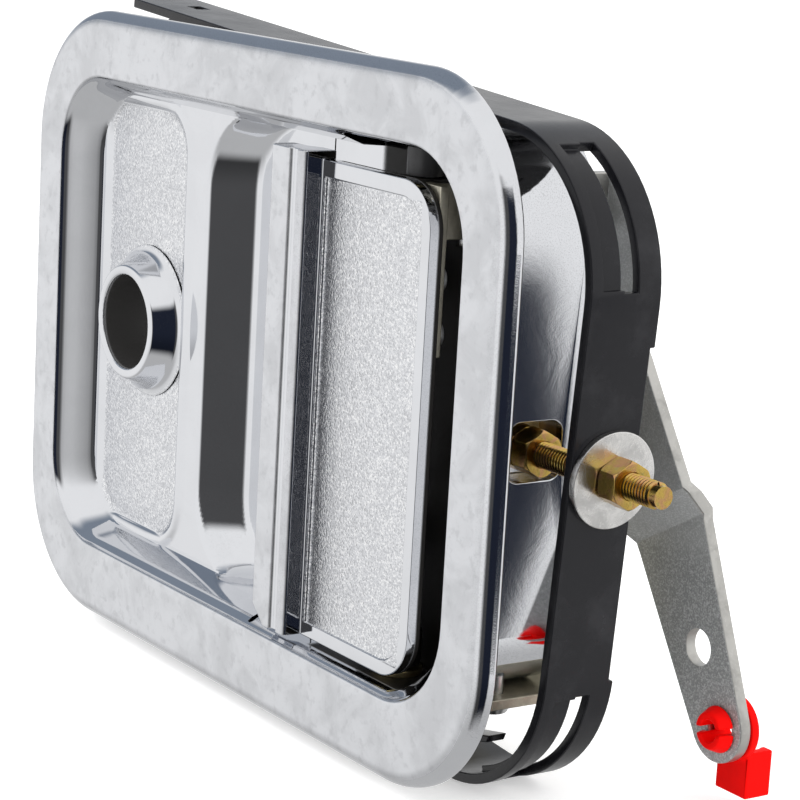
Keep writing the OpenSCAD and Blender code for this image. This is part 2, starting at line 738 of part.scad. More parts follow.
module release_lever() {
    tail_x0 = tab_x1 - lever_t;
    tail_z = [drive_z0 + 1, drive_z1 + 1];
    placed() color([0.42, 0.43, 0.43]) difference() {
        union() {
            intersection() {
                slab(lever_y - 1, arm_y + lever_t + 1)
                    translate([lever_x, lever_z]) rotate(arm_lean - 90) arm_outline();
                translate([lever_x, 0, lever_z]) rotate([0, 90 - arm_lean, 0])
                    translate([0, 0, -3 * lever_hub_r]) linear_extrude(6 * lever_hub_r) arm_side();
            }
            slab(lever_y, lever_y + lever_t)
                polygon([[lever_x - 0.87 * lever_hub_r, lever_z + 4], [tail_x0, tail_z[0]],
                         [tail_x0, tail_z[1]], [tab_x1 + 6, tail_z[1]],
                         [lever_x + 0.72 * lever_hub_r, lever_z + 7]]);
            box([tail_x0, tab_x1], [tab_y0, lever_y + lever_t - eps], tail_z);
        }
        bar_y(lever_x, lever_z, lever_y - 2, arm_y + lever_t + 2, shoulder_d + 2 * run_gap);
        bar_y(clip_at[0], clip_at[1], lever_y - 2, arm_y + lever_t + 2, 2 * (stem_r + run_gap));
        bar_y(hole_at[0], hole_at[1], lever_y - 2, arm_y + lever_t + 2, rod_hole_d);
    }
}

// Split head in front of the lever, collar and rod jaw behind it; the rod's bent end goes through the middle
module rod_clip() {
    y1 = arm_y - 0.3;
    y2 = arm_y + lever_t + 0.3;
    rod_r = rod_d / 2;
    jaw_y = y2 + 1.2 + rod_r + 1.6;
    jaw_x = [-rod_r - 2.5, rod_r + 2];
    jaw_z = [-stem_r - 9.9, -stem_r - 1.1];
    placed() color(clip_red) translate([clip_at[0], 0, clip_at[1]]) difference() {
        union() {
            translate([0, y1, 0]) rotate([90, 0, 0]) cylinder(h = 2.6, d1 = 2 * stem_r + 2.6, d2 = 2 * stem_r + 0.4);
            bar_y(0, 0, y1 - 1, y2 + 0.5, 2 * stem_r);
            bar_y(0, 0, y2, y2 + 1.6, 4 * stem_r - 0.4);
            box(jaw_x, [y2 + 1.2, jaw_y + 0.9 * rod_r + 0.6], jaw_z);
        }
        bar_y(0, 0, y1 - 4, jaw_y, rod_d + 0.2);
        rotate([0, -10, 0]) box([-8, 8], [y1 - 4, y1 + 1.6], [-0.6, 0.6]);
        translate([0, jaw_y, jaw_z[0] - 1]) cylinder(h = 20, r = rod_r);
        box([-0.75 * rod_r, 0.75 * rod_r], [jaw_y, jaw_y + 9], [jaw_z[0] - 1, 0]);
    }
}

bezel_housing();
flange_gasket();
retainer_ring();
ring_studs();
stud_jam_nuts();
ring_washers();
ring_nuts();
rear_bracket();
bracket_screws();
pivot_pin();
pin_bushes();
pin_spacer();
pin_clip();
paddle_spring();
paddle_bumpers();
lever_pivot();
lever_spacer();
lever_washer();
lever_clip();
paddle();
drive_arm();
drive_rivets();
release_lever();
rod_clip();
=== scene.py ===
from math import cos, hypot, pi, radians, sin

import bmesh
import bpy
from mathutils import Matrix, Vector


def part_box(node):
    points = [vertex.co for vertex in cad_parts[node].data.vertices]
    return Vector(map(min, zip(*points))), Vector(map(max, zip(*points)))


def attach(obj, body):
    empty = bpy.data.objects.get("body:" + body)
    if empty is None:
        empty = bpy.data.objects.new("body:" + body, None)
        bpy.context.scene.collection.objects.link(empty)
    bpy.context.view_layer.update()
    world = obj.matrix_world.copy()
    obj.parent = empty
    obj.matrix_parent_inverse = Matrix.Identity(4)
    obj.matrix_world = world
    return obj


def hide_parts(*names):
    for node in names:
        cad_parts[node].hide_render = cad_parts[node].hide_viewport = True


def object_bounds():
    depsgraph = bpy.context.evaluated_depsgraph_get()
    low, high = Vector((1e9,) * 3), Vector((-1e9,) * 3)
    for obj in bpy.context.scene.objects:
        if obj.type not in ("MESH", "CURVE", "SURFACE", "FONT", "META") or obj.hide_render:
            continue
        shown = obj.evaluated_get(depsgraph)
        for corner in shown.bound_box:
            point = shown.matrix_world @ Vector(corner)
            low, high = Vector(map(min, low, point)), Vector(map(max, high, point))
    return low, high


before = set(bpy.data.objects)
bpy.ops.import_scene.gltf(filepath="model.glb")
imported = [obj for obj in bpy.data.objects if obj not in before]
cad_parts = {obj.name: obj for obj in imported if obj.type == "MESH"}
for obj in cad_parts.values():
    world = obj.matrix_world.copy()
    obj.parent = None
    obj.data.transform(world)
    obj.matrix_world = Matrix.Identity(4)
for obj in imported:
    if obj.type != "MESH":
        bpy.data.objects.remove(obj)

bl_info = {
    "name": "Recessed paddle door handle",
    "version": (1, 0, 0),
    "blender": (4, 5, 0),
    "location": "3D View > Sidebar > Door handle",
    "description": "Dresses the door handle's solids and sets them in a plain studio",
    "category": "Object",
}

SOLID_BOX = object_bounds()
MM = 0.001
LOCK_X = -48.5 * MM
BEZEL_FRONT = 6.0   # the bezel's front face in front of the door skin, in millimetres
FLOOR_DEPTH = 7.9   # the grained floor behind the bezel's front face, in millimetres
SKIN = 0.08 * MM    # thickness of the smooth casting front

LAMPS = (("key", (-0.45, -0.75, 0.75), 0.7, 9.0), ("fill", (0.75, 0.45, 0.5), 0.8, 5.0))

CAMERA_AT = (0.4385, -0.2653, 0.1004)
CAMERA_RIGHT = (0.555, 0.830, 0.055)
CAMERA_BACK = (0.808, -0.553, 0.203)
LENS = 118.85
SENSOR = 36.0


class HandleSizes(bpy.types.PropertyGroup):
    """Sizes of the details that are added to the solids."""

    edge: bpy.props.FloatProperty(
        name="Edge rounding", description="Radius on the edges of sheet and turned pieces",
        default=0.25 * MM, min=0.0, unit="LENGTH")
    thread_pitch: bpy.props.FloatProperty(
        name="Thread pitch", description="Distance between the turns of the stud threads",
        default=0.8 * MM, min=0.0, unit="LENGTH")
    grain: bpy.props.FloatProperty(
        name="Grain", description="Spacing of the grain on the textured chrome panels",
        default=0.42 * MM, min=0.0, unit="LENGTH")


class HandleColours(bpy.types.PropertyGroup):
    """Colours of the handle's finishes."""

    chrome: bpy.props.FloatVectorProperty(
        name="Chrome", description="Plated castings", subtype="COLOR", default=(0.735, 0.745, 0.77))
    zinc: bpy.props.FloatVectorProperty(
        name="Pale zinc", description="Bracket and drive arm", subtype="COLOR", default=(0.66, 0.62, 0.50))
    yellow_zinc: bpy.props.FloatVectorProperty(
        name="Yellow zinc", description="Studs and nuts", subtype="COLOR", default=(0.62, 0.43, 0.11))
    lever: bpy.props.FloatVectorProperty(
        name="Lever", description="Faces of the release lever", subtype="COLOR", default=(0.40, 0.41, 0.41))
    ring: bpy.props.FloatVectorProperty(
        name="Ring coat", description="Black coat of the clamp ring", subtype="COLOR",
        default=(0.008, 0.008, 0.010))
    rubber: bpy.props.FloatVectorProperty(
        name="Rubber", description="Gasket and bumpers", subtype="COLOR", default=(0.010, 0.010, 0.011))
    clip: bpy.props.FloatVectorProperty(
        name="Rod clip", description="Moulded rod clip", subtype="COLOR", default=(1.0, 0.006, 0.005))


def sizes():
    return bpy.context.scene.handle_sizes


def colours():
    return bpy.context.scene.handle_colours


class Value:
    """A number in a finish's node tree; arithmetic on it adds Math nodes."""

    def __init__(self, finish, socket):
        self.finish = finish
        self.socket = socket

    def math(self, operation, *terms):
        sockets = {i: t for i, t in enumerate(terms)}
        return self.finish.node("ShaderNodeMath", {"operation": operation}, sockets)

    def __add__(self, other):
        return self.math("ADD", self, other)

    def __radd__(self, other):
        return self.math("ADD", other, self)

    def __sub__(self, other):
        return self.math("SUBTRACT", self, other)

    def __rsub__(self, other):
        return self.math("SUBTRACT", other, self)

    def __mul__(self, other):
        return self.math("MULTIPLY", self, other)

    def __rmul__(self, other):
        return self.math("MULTIPLY", other, self)

    def above(self, start, end):
        """0 below start, 1 past end, smooth between."""
        sockets = {"Value": self, "From Min": start, "From Max": end}
        return self.finish.node("ShaderNodeMapRange", {"interpolation_type": "SMOOTHSTEP"}, sockets)

    def below(self, start, end):
        """1 below start, 0 past end, smooth between."""
        return 1 - self.above(start, end)


class Finish:
    """A material whose nodes are added by method calls and arithmetic."""

    def __init__(self, name, world=None):
        self.data = world or bpy.data.materials.new(name)
        self.data.use_nodes = True
        self.tree = self.data.node_tree
        self.tree.nodes.clear()
        self.place = None

    def node(self, kind, settings=None, sockets=None, out=0):
        node = self.tree.nodes.new(kind)
        for key, value in (settings or {}).items():
            setattr(node, key, value)
        for key, value in (sockets or {}).items():
            if isinstance(value, Value):
                self.tree.links.new(value.socket, node.inputs[key])
            else:
                node.inputs[key].default_value = value
        return Value(self, node.outputs[out]) if len(node.outputs) else None

    def position(self):
        if self.place is None:
            self.place = self.node("ShaderNodeTexCoord", out="Object")
        return self.place

    def axes(self):
        split = self.node("ShaderNodeSeparateXYZ", sockets={0: self.position()}).socket.node
        return [Value(self, s) for s in split.outputs]

    def noise(self, spacing, detail=2.0, roughness=0.5, distortion=0.0):
        sockets = {"Vector": self.position(), "Scale": 1.0 / spacing, "Detail": detail,
                   "Roughness": roughness, "Distortion": distortion}
        return self.node("ShaderNodeTexNoise", sockets=sockets)

    def mix(self, share, a, b):
        """Colour between a and b."""
        sockets = {0: share, 6: a, 7: b}
        return self.node("ShaderNodeMix", {"data_type": "RGBA"}, sockets, out=2)

    def bump(self, height, distance, strength):
        sockets = {"Height": height, "Distance": distance, "Strength": strength}
        return self.node("ShaderNodeBump", sockets=sockets)

    def surface(self, **sockets):
        named = {key.replace("_", " "): value for key, value in sockets.items()}
        shader = self.node("ShaderNodeBsdfPrincipled", sockets=named)
        self.node("ShaderNodeOutputMaterial", sockets={"Surface": shader})
        return self.data


def rgba(colour, share=1.0):
    return (*(min(1.0, c * share) for c in colour), 1.0)


def plated(name, grain_at, painted_shade_at, cast_at):
    """Chrome plate: polished, frosted on flat fronts, and stippled, darkened with painted shade or rough cast
    where the three say.
    """
    f = Finish(name)
    x, y, z = f.axes()
    grain = grain_at(x, y, z)
    # mask of the painted shade in the deep recesses; there the plate is also made a rough non-metal as bare
    # cast
    painted_shade = painted_shade_at(x, y, z)
    cast = cast_at(x, y, z)
    frost = y.below(-5.75 * MM, -5.45 * MM)
    flank = size_of(x).above(62.0 * MM, 62.6 * MM) * y.above(2.0 * MM, 3.0 * MM)
    cloud = f.noise(10 * MM, 5.0, 0.62, 0.6)
    flake = f.noise(2.2 * MM, 3.0, 0.6)
    speck = f.noise(0.22 * MM, 1.0, 0.5)
    pits = f.noise(sizes().grain, 2.0, 0.55)
    chrome = colours().chrome
    shade = f.mix(cloud.above(0.38, 0.66) * (0.15 + 0.55 * frost), rgba(chrome), rgba(chrome, 0.80))
    shade = f.mix(flake.above(0.52, 0.72) * frost * 0.55, shade, rgba(chrome, 0.76))
    shade = f.mix(pits.above(0.50, 0.68) * grain * 0.5, shade, rgba(chrome, 0.58))
    shade = f.mix(pits.below(0.36, 0.48) * grain * 0.8, shade, rgba(chrome, 1.36))
    shade = f.mix(speck.above(0.52, 0.66) * cast * 0.35, shade, rgba(chrome, 0.55))
    # painted shade: the recesses marked by the third mask are coloured near black for the shade that falls
    # there
    shade = f.mix(painted_shade, shade, (0.016, 0.014, 0.012, 1.0))
    height = pits * grain * 0.5 + speck * cast * (0.03 - 0.028 * flank) + flake * frost * 0.10 + cloud * 0.02
    normal = f.bump(height, 0.30 * MM, 0.9)
    behind = y.above(11.5 * MM, 12.5 * MM) * (1 - flank)
    rough = 0.05 + frost * (0.20 + 0.14 * flake) + grain * 0.16 + painted_shade * 0.5 + behind * 0.16
    rough = rough + cast * (1 - flank) * 0.05
    return f.surface(Base_Color=shade, Metallic=1 - 0.9 * painted_shade, Roughness=rough, Normal=normal)


def between(value, low, high, soft):
    """1 from low to high in millimetres, with soft edges."""
    return value.above((low - soft) * MM, low * MM) * value.below(high * MM, (high + soft) * MM)


def size_of(value):
    return value.math("ABSOLUTE", value)


def bezel_chrome():
    """Casting: stippled floor panel, painted shade in the bay behind the paddle and in the lock bore, rough rim
    and tub.
    """
    def floor(x, y, z):
        inside = between(x, -66.6, -34.6, 0.5) * between(z, -44.6, 44.6, 0.5)
        away = ((x - LOCK_X) * (x - LOCK_X) + z * z).above((14.8 * MM) ** 2, (15.4 * MM) ** 2)
        return inside * between(y, 2.0, 3.2, 0.3) * away

    # painted shade: marks the bay behind the paddle and the inside of the lock bore to be coloured near black
    # for the shade in them
    def bay(x, y, z):
        behind = between(x, 27.0, 62.0, 2.0) * between(z, -51.6, 47.2, 0.4) * between(y, -1.0, 10.9, 0.6)
        bore = ((x - LOCK_X) * (x - LOCK_X) + z * z).below((10.08 * MM) ** 2, (10.2 * MM) ** 2)
        return behind.math("MAXIMUM", behind, bore * y.above(-3.6 * MM, -2.6 * MM) * 0.97)

    def rough_cast(x, y, z):
        tub = x.above(62.0 * MM, 62.6 * MM) * y.above(-0.2 * MM, 0.3 * MM)
        tub = tub.math("MAXIMUM", tub, y.above(11.5 * MM, 12.5 * MM))
        fall = between(x, -24.6, -16.6, 0.8) * between(y, 3.4, 9.4, 1.4) * z.below(-6 * MM, 30 * MM) * 0.35
        side = size_of(x).above(84.3 * MM, 85.0 * MM)
        end = size_of(z + 1.1 * MM).above(61.8 * MM, 62.5 * MM)
        rim = side.math("MAXIMUM", side, end) * y.below(-2.0 * MM, -1.6 * MM)
        return tub.math("MAXIMUM", tub, fall.math("MAXIMUM", fall, rim * 0.6))
    return plated("bezel_chrome", floor, bay, rough_cast)


def paddle_chrome():
    """Paddle: stippled panel, painted shade on its rear, rough step beside the pull rib."""
    def panel(x, y, z):
        inside = between(x, 25.0, 57.2, 0.4) * between(z, -45.6, 40.0, 0.4)
        return inside * y.below(-0.9 * MM, -0.6 * MM)

    # painted shade: the paddle's rear, facing into the bay, is coloured near black for the shade there
    def rear(x, y, z):
        return y.above(-0.3 * MM, 0.2 * MM) * x.above(26 * MM, 28 * MM)

    def step(x, y, z):
        return between(x, 20.5, 23.6, 0.4) * 0.8
    return plated("paddle_chrome", panel, rear, step)


def sheet_metal(name, colour, rough, metallic=1.0):
    """Plated sheet or bar metal with a fine grain and faint stains."""
    f = Finish(name)
    stain = f.noise(5 * MM, 4.0, 0.6, 0.4)
    speck = f.noise(0.8 * MM, 2.0, 0.6)
    shade = f.mix(stain.above(0.42, 0.72) * 0.6, rgba(colour), rgba(colour, 0.6))
    shade = f.mix(speck.above(0.55, 0.8) * 0.5, shade, rgba(colour, 1.25))
    normal = f.bump(speck, 0.04 * MM, 0.7)
    return f.surface(Base_Color=shade, Metallic=metallic, Roughness=rough + 0.2 * stain, Normal=normal)


def yellow_zinc(name):
    """Yellow chromate on zinc: straw with pink and grey clouds."""
    f = Finish(name)
    cloud = f.noise(2.4 * MM, 2.0, 0.5, 0.8)
    straw = colours().yellow_zinc
    shade = f.mix(cloud.above(0.42, 0.70), rgba(straw), (0.62, 0.34, 0.17, 1.0))
    shade = f.mix(f.noise(1.3 * MM).above(0.56, 0.76) * 0.6, shade, (0.46, 0.42, 0.16, 1.0))
    return f.surface(Base_Color=shade, Metallic=1.0, Roughness=0.14 + 0.14 * cloud,
                     Normal=f.bump(f.noise(0.5 * MM), 0.02 * MM, 0.6))


def black_coat(name):
    """Gloss black coat with a faint orange peel and thin spots."""
    f = Finish(name)
    peel = f.noise(1.6 * MM, 2.0, 0.5)
    thin = f.noise(11 * MM, 4.0, 0.65)
    coat = colours().ring
    shade = f.mix(thin.above(0.45, 0.75) * 0.7, rgba(coat), (0.022, 0.022, 0.025, 1.0))
    return f.surface(Base_Color=shade, Roughness=0.16 + 0.16 * thin, Specular_IOR_Level=0.30,
                     Normal=f.bump(peel, 0.03 * MM, 0.6))


def rubber(name):
    """Black rubber with a little dust."""
    f = Finish(name)
    dust = f.noise(3 * MM, 4.0, 0.65)
    base = colours().rubber
    shade = f.mix(dust.above(0.45, 0.75) * 0.6, rgba(base), (0.03, 0.03, 0.031, 1.0))
    return f.surface(Base_Color=shade, Roughness=0.55 + 0.25 * dust,
                     Normal=f.bump(f.noise(0.4 * MM), 0.03 * MM, 0.7))


def moulded_red(name):
    """Red moulded plastic with faint flow marks."""
    f = Finish(name)
    flow = f.noise(4 * MM, 2.0, 0.5)
    base = colours().clip
    shade = f.mix(flow.above(0.35, 0.75), rgba(base), rgba(base, 0.92))
    return f.surface(Base_Color=shade, Roughness=0.26 + 0.12 * flow, Specular_IOR_Level=0.02,
                     Normal=f.bump(f.noise(0.7 * MM), 0.02 * MM, 0.6))


def lever_faces(name):
    """Charcoal zinc with a sparkling grain, and painted light that makes its upper part lighter."""
    f = Finish(name)
    grain = f.noise(0.32 * MM, 2.0, 0.65)
    stain = f.noise(7 * MM, 4.0, 0.6)
    base = colours().lever
    shade = f.mix(grain.above(0.40, 0.72), rgba(base, 0.75), rgba(base, 1.5))
    z = f.axes()[2]
    # painted light: above about z = -27 mm the faces are made lighter for the way the light falls on them
    shade = f.mix(z.above(-27 * MM, -20 * MM) * 0.35, shade, rgba(base, 1.5))
    shade = f.mix(stain.above(0.5, 0.8) * 0.4, shade, rgba(base, 0.55))
    return f.surface(Base_Color=shade, Metallic=0.35, Roughness=0.34 + 0.2 * grain,
                     Normal=f.bump(grain, 0.06 * MM, 0.8))


def keep_faces_flat(mesh, sharp):
    """Corner normals led by the larger faces, so that flat faces stay flat beside their rounded edges."""
    around = [[] for _ in mesh.vertices]
    faces = [(f.normal.copy(), f.area, tuple(f.vertices)) for f in mesh.polygons]
    for normal, area, verts in faces:
        for vert in verts:
            around[vert].append((normal, area))
    limit = cos(radians(sharp))
    normals = []
    for normal, _, verts in faces:
        for vert in verts:
            near = (n * a for n, a in around[vert] if n.dot(normal) > limit)
            normals.append(sum(near, Vector()).normalized())
    mesh.normals_split_custom_set(normals)


def piece(bm, name, body, finishes, nodes=(), sharp=50.0):
    """Ends a mesh as an object that rides on a body and stands for the given solids."""
    mesh = bpy.data.meshes.new(name)
    bm.to_mesh(mesh)
    bm.free()
    mesh.polygons.foreach_set("use_smooth", [True] * len(mesh.polygons))
    mesh.set_sharp_from_angle(angle=radians(sharp))
    if nodes:
        keep_faces_flat(mesh, sharp)
    for finish in finishes:
        mesh.materials.append(finish)
    obj = bpy.data.objects.new(name, mesh)
    bpy.context.scene.collection.objects.link(obj)
    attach(obj, body)
    if nodes:
        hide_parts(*nodes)
    return obj


def rounded_copy(node, width, segments=2, angle=26.0):
    """A solid's mesh with its sharp edges rounded."""
    bm = bmesh.new()
    bm.from_mesh(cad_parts[node].data)
    bmesh.ops.remove_doubles(bm, verts=bm.verts, dist=2e-6)
    bmesh.ops.dissolve_degenerate(bm, edges=bm.edges, dist=1e-5)
    bmesh.ops.dissolve_limit(bm, angle_limit=radians(0.4), verts=bm.verts, edges=bm.edges)
    bmesh.ops.connect_verts_concave(bm, faces=bm.faces)
    edges = [e for e in bm.edges if e.is_manifold and e.calc_face_angle(0.0) > radians(angle)]
    bmesh.ops.bevel(bm, geom=edges, offset=width, offset_type="OFFSET", affect="EDGES", segments=segments,
                    profile=0.5, material=-1, clamp_overlap=False)
    bmesh.ops.triangulate(bm, faces=[f for f in bm.faces if len(f.verts) > 4])
    return bm


def inside(x, z, x0, x1, half_h, r):
    """Distance inside a rounded rectangle, all in millimetres; negative outside."""
    qx = abs(x - (x0 + x1) / 2) - (x1 - x0) / 2 + r
    qz = abs(z) - half_h + r
    return r - hypot(max(qx, 0.0), max(qz, 0.0)) - min(max(qx, qz), 0.0)


def smooth(t):
    t = min(1.0, max(0.0, t))
    return t * t * (3 - 2 * t)


def ramp(t, first=0.12, last=0.2):
    """Straight rise from 0 to 1 with its two ends rounded off."""
    slope = 1 / (1 - (first + last) / 2)
    if t < first:
        return slope * t * t / (2 * first)
    if t > 1 - last:
        return 1 - slope * (1 - t) ** 2 / (2 * last)
    return slope * (t - first / 2)


def floor_depth(x, z):
    """Depth of the casting front: bead round the textured panel, then the S-shaped fall into the pocket."""
    low, high = 0.0, 1.0
    for _ in range(14):
        mid = (low + high) / 2
        if inside(x, z, mix(-25.6, -17.6, mid), 90, mix(47.9, 46.2, mid), mix(17.0, 14.4, mid)) > 0:
            low = mid
        else:
            high = mid
    fall = 8.45 * ramp(low)
    edge = inside(x, z, -67.4, -34.0, 45.4, 9)
    panel = 0.42 * smooth((edge + 0.1) / 0.7)
    bead = 0.55 * sin(pi * min(1.0, max(0.0, (edge + 3.0) / 3.2)))
    return FLOOR_DEPTH + fall + panel - bead


def mix(a, b, t):
    return a + (b - a) * t


def outline_point(i, count, x0, x1, half_h, r):
    """Place of point i on a rounded rectangle whose corners and sides have fixed shares of the points."""
    long, short, corner = count
    r = max(r, 0.02)
    half_w = (x1 - x0) / 2
    parts = ((long, 0), (corner, 1), (short, 0), (corner, 1)) * 2
    at = i
    for part, (steps, bent) in enumerate(parts):
        if at < steps:
            break
        at -= steps
    quarter = part // 2
    t = at / steps
    wide = half_w - r
    tall = half_h - r
    corners = ((wide, tall), (wide, -tall), (-wide, -tall), (-wide, tall))
    cx, cz = corners[quarter]
    if bent:
        a = pi / 2 * (1 - quarter - t)
        x, z = cx + r * cos(a), cz + r * sin(a)
    elif quarter % 2 == 0:
        sign = 1 if quarter == 0 else -1
        x, z = sign * mix(-wide, wide, t), sign * half_h
    else:
        sign = 1 if quarter == 1 else -1
        x, z = sign * half_w, sign * mix(tall, -tall, t)
    return x + (x0 + x1) / 2, z


def span(low, high, gap):
    """Places from low to high, about gap apart."""
    count = max(1, round((high - low) / gap))
    return [mix(low, high, i / count) for i in range(count + 1)]


def split_faces(bm, axis, at, wanted):
    """Splits the wanted faces along a plane across an axis, its place in millimetres."""
    faces = [f for f in bm.faces if wanted(f)]
    geom = list({*faces, *(e for f in faces for e in f.edges), *(v for f in faces for v in f.verts)})
    place, normal = Vector(), Vector()
    place[axis], normal[axis] = at * MM, 1.0
    bmesh.ops.bisect_plane(bm, geom=geom, dist=1e-7, plane_co=place, plane_no=normal)


def front_skin():
    """Front of the casting as one smooth surface: rim, lip, walls, bead, textured floor and finger pocket."""
    count = (150, 46, 16)
    total = 2 * count[0] + 2 * count[1] + 4 * count[2]
    loops = []
    for a in (26, 20, 14, 8, 3, 0):
        cut = 3.4 * (1 - sin(radians(a)))
        loops.append((-88 + cut, 88 - cut, 65.5 - cut, 29 - cut, 3.4 * (1 - cos(radians(a))), -1.1))
    for t in (0.25, 0.5, 0.75):
        loops.append((mix(-84.6, -76.6, t), mix(84.6, 76.6, t), mix(62.1, 51.4, t), mix(25.6, 18.6, t), 0.0,
                      mix(-1.1, 0.0, t)))
    for a in (0, 12, 24, 36, 48, 62):
        d = -0.36 + 0.7 * sin(radians(a))
        loops.append((-76 + d, 76 - d, 50.8 - d, 18 - d, 0.7 * (1 - cos(radians(a))), 0.0))
    profile = ((0.3, 0.56), (0.55, 0.98), (0.85, 1.38), (1.2, 1.76), (1.7, 2.28), (2.3, 2.9),
               (3.0, 3.62), (3.8, 4.45), (4.6, 5.3), (5.3, 6.05), (5.8, 6.6), (6.1, 6.95))
    for d, depth in profile:
        share = min(1.0, max(0.0, (d - 1.5) / 5.5))
        end = d if d <= 1.5 else 1.5 + 2.3 * share
        loops.append((-76 + d, 76 - d, 50.8 - end, 18 - end, depth, 0.0))
    loops.append((-69.6, 69.6, 47.0, 14.2, FLOOR_DEPTH, 0.0))

    def place(i, loop):
        x0, x1, half_h, r, depth, up = loop
        x, z = outline_point(i, count, x0, x1, half_h, r)
        return Vector((x, depth - BEZEL_FRONT, z + up)) * MM

    bm = bmesh.new()
    ring = bmesh.ops.create_circle(bm, cap_ends=False, segments=total, radius=1.0)["verts"]
    for i, vert in enumerate(ring):
        vert.co = place(i, loops[0])
    edges = list({e for v in ring for e in v.link_edges})
    order = {v: i for i, v in enumerate(ring)}
    for loop in loops[1:]:
        old = {}
        for e in edges:
            for v in e.verts:
                old[v] = order[v]
        made = bmesh.ops.extrude_edge_only(bm, edges=edges)["geom"]
        fresh = [g for g in made if isinstance(g, bmesh.types.BMVert)]
        edges = [g for g in made if isinstance(g, bmesh.types.BMEdge)]
        order = {}
        for v in fresh:
            partner = next(e.other_vert(v) for e in v.link_edges if e.other_vert(v) in old)
            order[v] = old[partner]
            v.co = place(order[v], loop)
    for f in bmesh.ops.edgeloop_fill(bm, edges=edges)["faces"]:
        f.material_index = 1
    pocket_end = 8.6
    wall_end = 33.0
    wall_foot = 46.3 * MM
    columns = [*span(-69.0, -62.0, 0.5), *span(-60, -39, 3.5), *span(-38, -31, 0.5), *span(-29.6, -27, 1.3),
               *span(-26.2, -16.6, 0.32), *span(-15.6, 0, 1.2), 4.0, *span(12, 30, 3)]
    rows = [*span(0, 30, 3), *span(31, 42, 1), *span(42.5, 45, 0.5), *span(45.2, 46.9, 0.2)]
    for axis, places in ((0, columns), (2, rows), (2, [-at for at in rows])):
        for at in places:
            split_faces(bm, axis, at, lambda f: f.material_index == 1)
    for at in (pocket_end, wall_end):
        split_faces(bm, 0, at, lambda f: f.calc_center_median().y > -4.6 * MM)
    floor = [f for f in bm.faces if f.material_index == 1]
    for v in {v for f in floor for v in f.verts}:
        v.co.y = (floor_depth(v.co.x / MM, v.co.z / MM) - BEZEL_FRONT) * MM
    for f in floor:
        f.material_index = 0
    bmesh.ops.triangulate(bm, faces=[f for f in bm.faces if len(f.verts) > 4])
    gone = []
    for f in bm.faces:
        c = f.calc_center_median()
        if c.y > -4.6 * MM and c.x > (wall_end if c.z > wall_foot else pocket_end) * MM:
            gone.append(f)
        elif hypot(c.x - LOCK_X, c.z) < 12.6 * MM:
            gone.append(f)
    bmesh.ops.delete(bm, geom=gone, context="FACES")
    bmesh.ops.remove_doubles(bm, verts=bm.verts, dist=2e-6)
    bmesh.ops.recalc_face_normals(bm, faces=bm.faces)
    bm.normal_update()
    if sum(f.normal.y * f.calc_area() for f in bm.faces) > 0:
        bmesh.ops.reverse_faces(bm, faces=bm.faces)
    bmesh.ops.solidify(bm, geom=bm.faces, thickness=SKIN)
    return bm


def lock_boss():
    """Turned boss round the lock bore: flat face, rounded edge, cone and a fillet into the floor."""
    profile = [(10.04, 2.75), (10.12, 2.45), (10.35, 2.33)]
    profile += [(11.55 + 0.65 * sin(radians(a)), 2.95 - 0.65 * cos(radians(a))) for a in range(0, 73, 12)]
    profile += [(12.9, 4.45), (13.6, 6.1), (13.95, 6.9), (14.3, 7.4), (14.9, 7.72), (15.6, 7.82),
                (16.1, 8.02)]
    bm = bmesh.new()
    verts = [bm.verts.new((LOCK_X + r * MM, (depth - BEZEL_FRONT) * MM, 0.0)) for r, depth in profile]
    edges = [bm.edges.new(pair) for pair in zip(verts, verts[1:])]
    bmesh.ops.spin(bm, geom=verts + edges, cent=(LOCK_X, 0.0, 0.0), axis=(0.0, 1.0, 0.0),
                   angle=2 * pi, steps=96, use_merge=True)
    bmesh.ops.recalc_face_normals(bm, faces=bm.faces)
    bm.normal_update()
    if sum(f.normal.y * f.calc_area() for f in bm.faces) > 0:
        bmesh.ops.reverse_faces(bm, faces=bm.faces)
    bmesh.ops.solidify(bm, geom=bm.faces, thickness=SKIN)
    return bm


class HandleOperator(bpy.types.Operator):
    """Common settings of the building steps."""

    bl_options = {"REGISTER", "UNDO"}


class HANDLE_OT_bezel(HandleOperator):
    """Chrome bezel and housing with its gasket"""

    bl_idname = "handle.bezel"
    bl_label = "Bezel and gasket"

    def execute(self, context):
        casting = rounded_copy("bezel_housing", sizes().edge)
        behind_skin = -5.7 * MM
        for vert in casting.verts:
            vert.co.y = max(vert.co.y, behind_skin)
        chrome = bezel_chrome()
        piece(casting, "bezel", "housing", [chrome], ["bezel_housing"])
        piece(front_skin(), "bezel_front", "housing", [chrome], sharp=38.0)
        piece(lock_boss(), "lock_boss", "housing", [chrome], sharp=50.0)
        piece(rounded_copy("flange_gasket", 0.5 * MM, 3), "gasket", "housing",
              [rubber("gasket_rubber")], ["flange_gasket"])
        return {"FINISHED"}


class HANDLE_OT_paddle(HandleOperator):
    """Chrome pull paddle"""

    bl_idname = "handle.paddle"
    bl_label = "Pull paddle"

    def execute(self, context):
        piece(rounded_copy("paddle", sizes().edge), "pull_paddle", "paddle",
              [paddle_chrome()], ["paddle"])
        return {"FINISHED"}


class HANDLE_OT_ring(HandleOperator):
    """Black clamp ring"""

    bl_idname = "handle.ring"
    bl_label = "Clamp ring"

    def execute(self, context):
        piece(rounded_copy("retainer_ring", sizes().edge), "clamp_ring", "housing",
              [black_coat("ring_black")], ["retainer_ring"])
        return {"FINISHED"}


